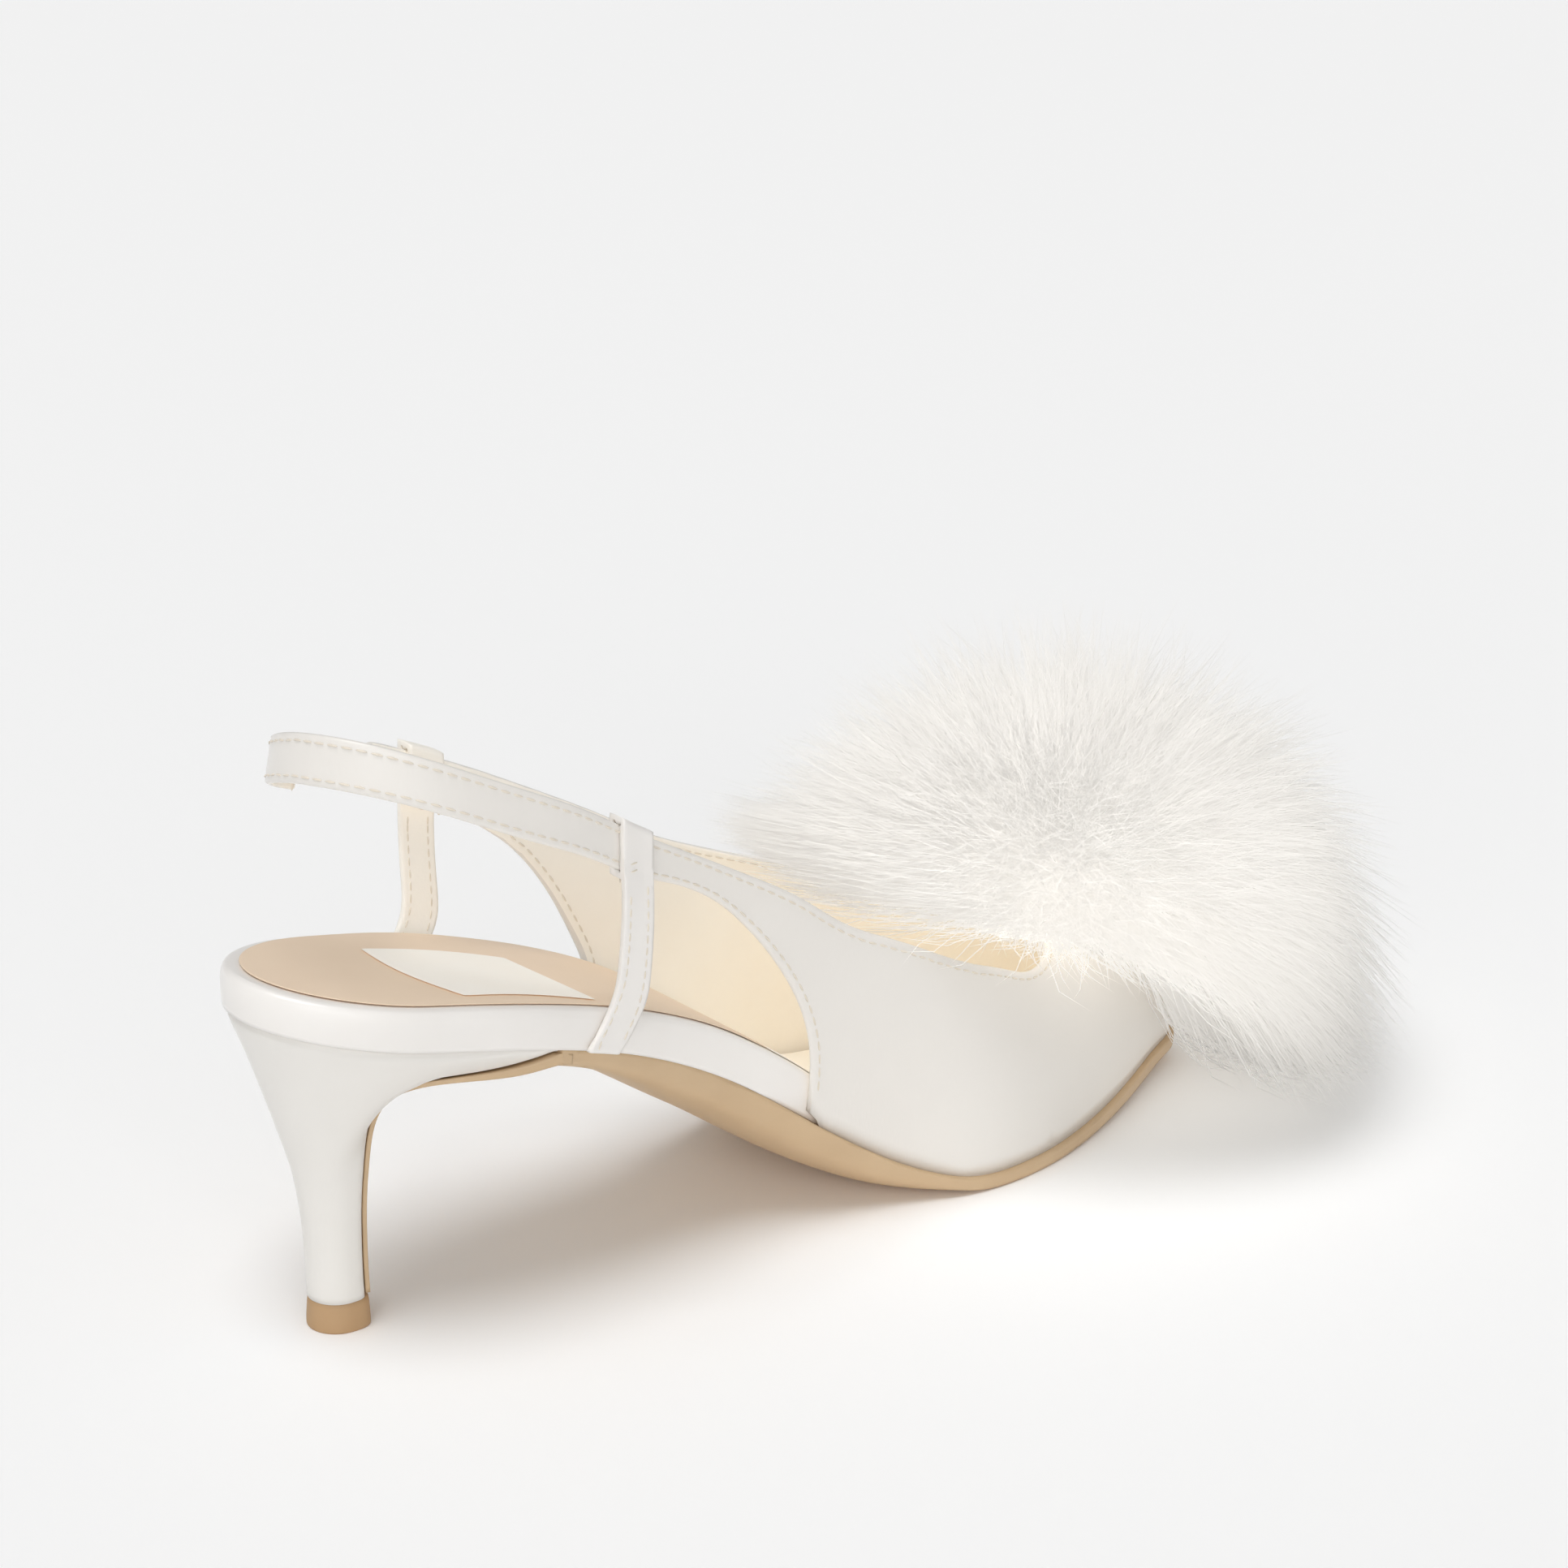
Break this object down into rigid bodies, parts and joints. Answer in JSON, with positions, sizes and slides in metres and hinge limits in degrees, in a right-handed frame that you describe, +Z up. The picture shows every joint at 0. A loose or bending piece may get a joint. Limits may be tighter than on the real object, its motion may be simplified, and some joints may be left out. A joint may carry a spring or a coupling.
{
  "type": "slingback pump",
  "caption": "Left slingback pump with a pointed open-sided vamp, a slim flared heel, side stays, a strap round the back and a large fur pompom.",
  "frame": {"origin": "middle of the heel's top piece on the floor", "axes": "+X from the heel towards the toe, +Y to the outer (lateral) side of a left foot, +Z up; the shoe stands on z = 0"},
  "size_m": [0.2847, 0.1376, 0.1263],
  "materials": {
    "satin": "satin weave",
    "board_satin": "satin weave",
    "heel_satin": "plastic block covered in satin",
    "lining": "smooth lining leather",
    "beige_leather": "smooth",
    "cream_leather": "smooth",
    "sole_leather": "smooth, lightly polished",
    "top_piece": "matte",
    "fur": "long soft fur"
  },
  "bodies": {
    "root": {"outsole": "sole_leather", "footbed": "board_satin", "sock_lining": "beige_leather", "forepart_sock": "cream_leather", "sock_pad": "cream_leather", "heel": "heel_satin", "top_piece": "top_piece", "upper": "satin", "side_stay_medial": "satin", "side_stay_lateral": "satin", "elastic_gore": "lining", "pompom": "fur"}
  },
  "joints": []
}
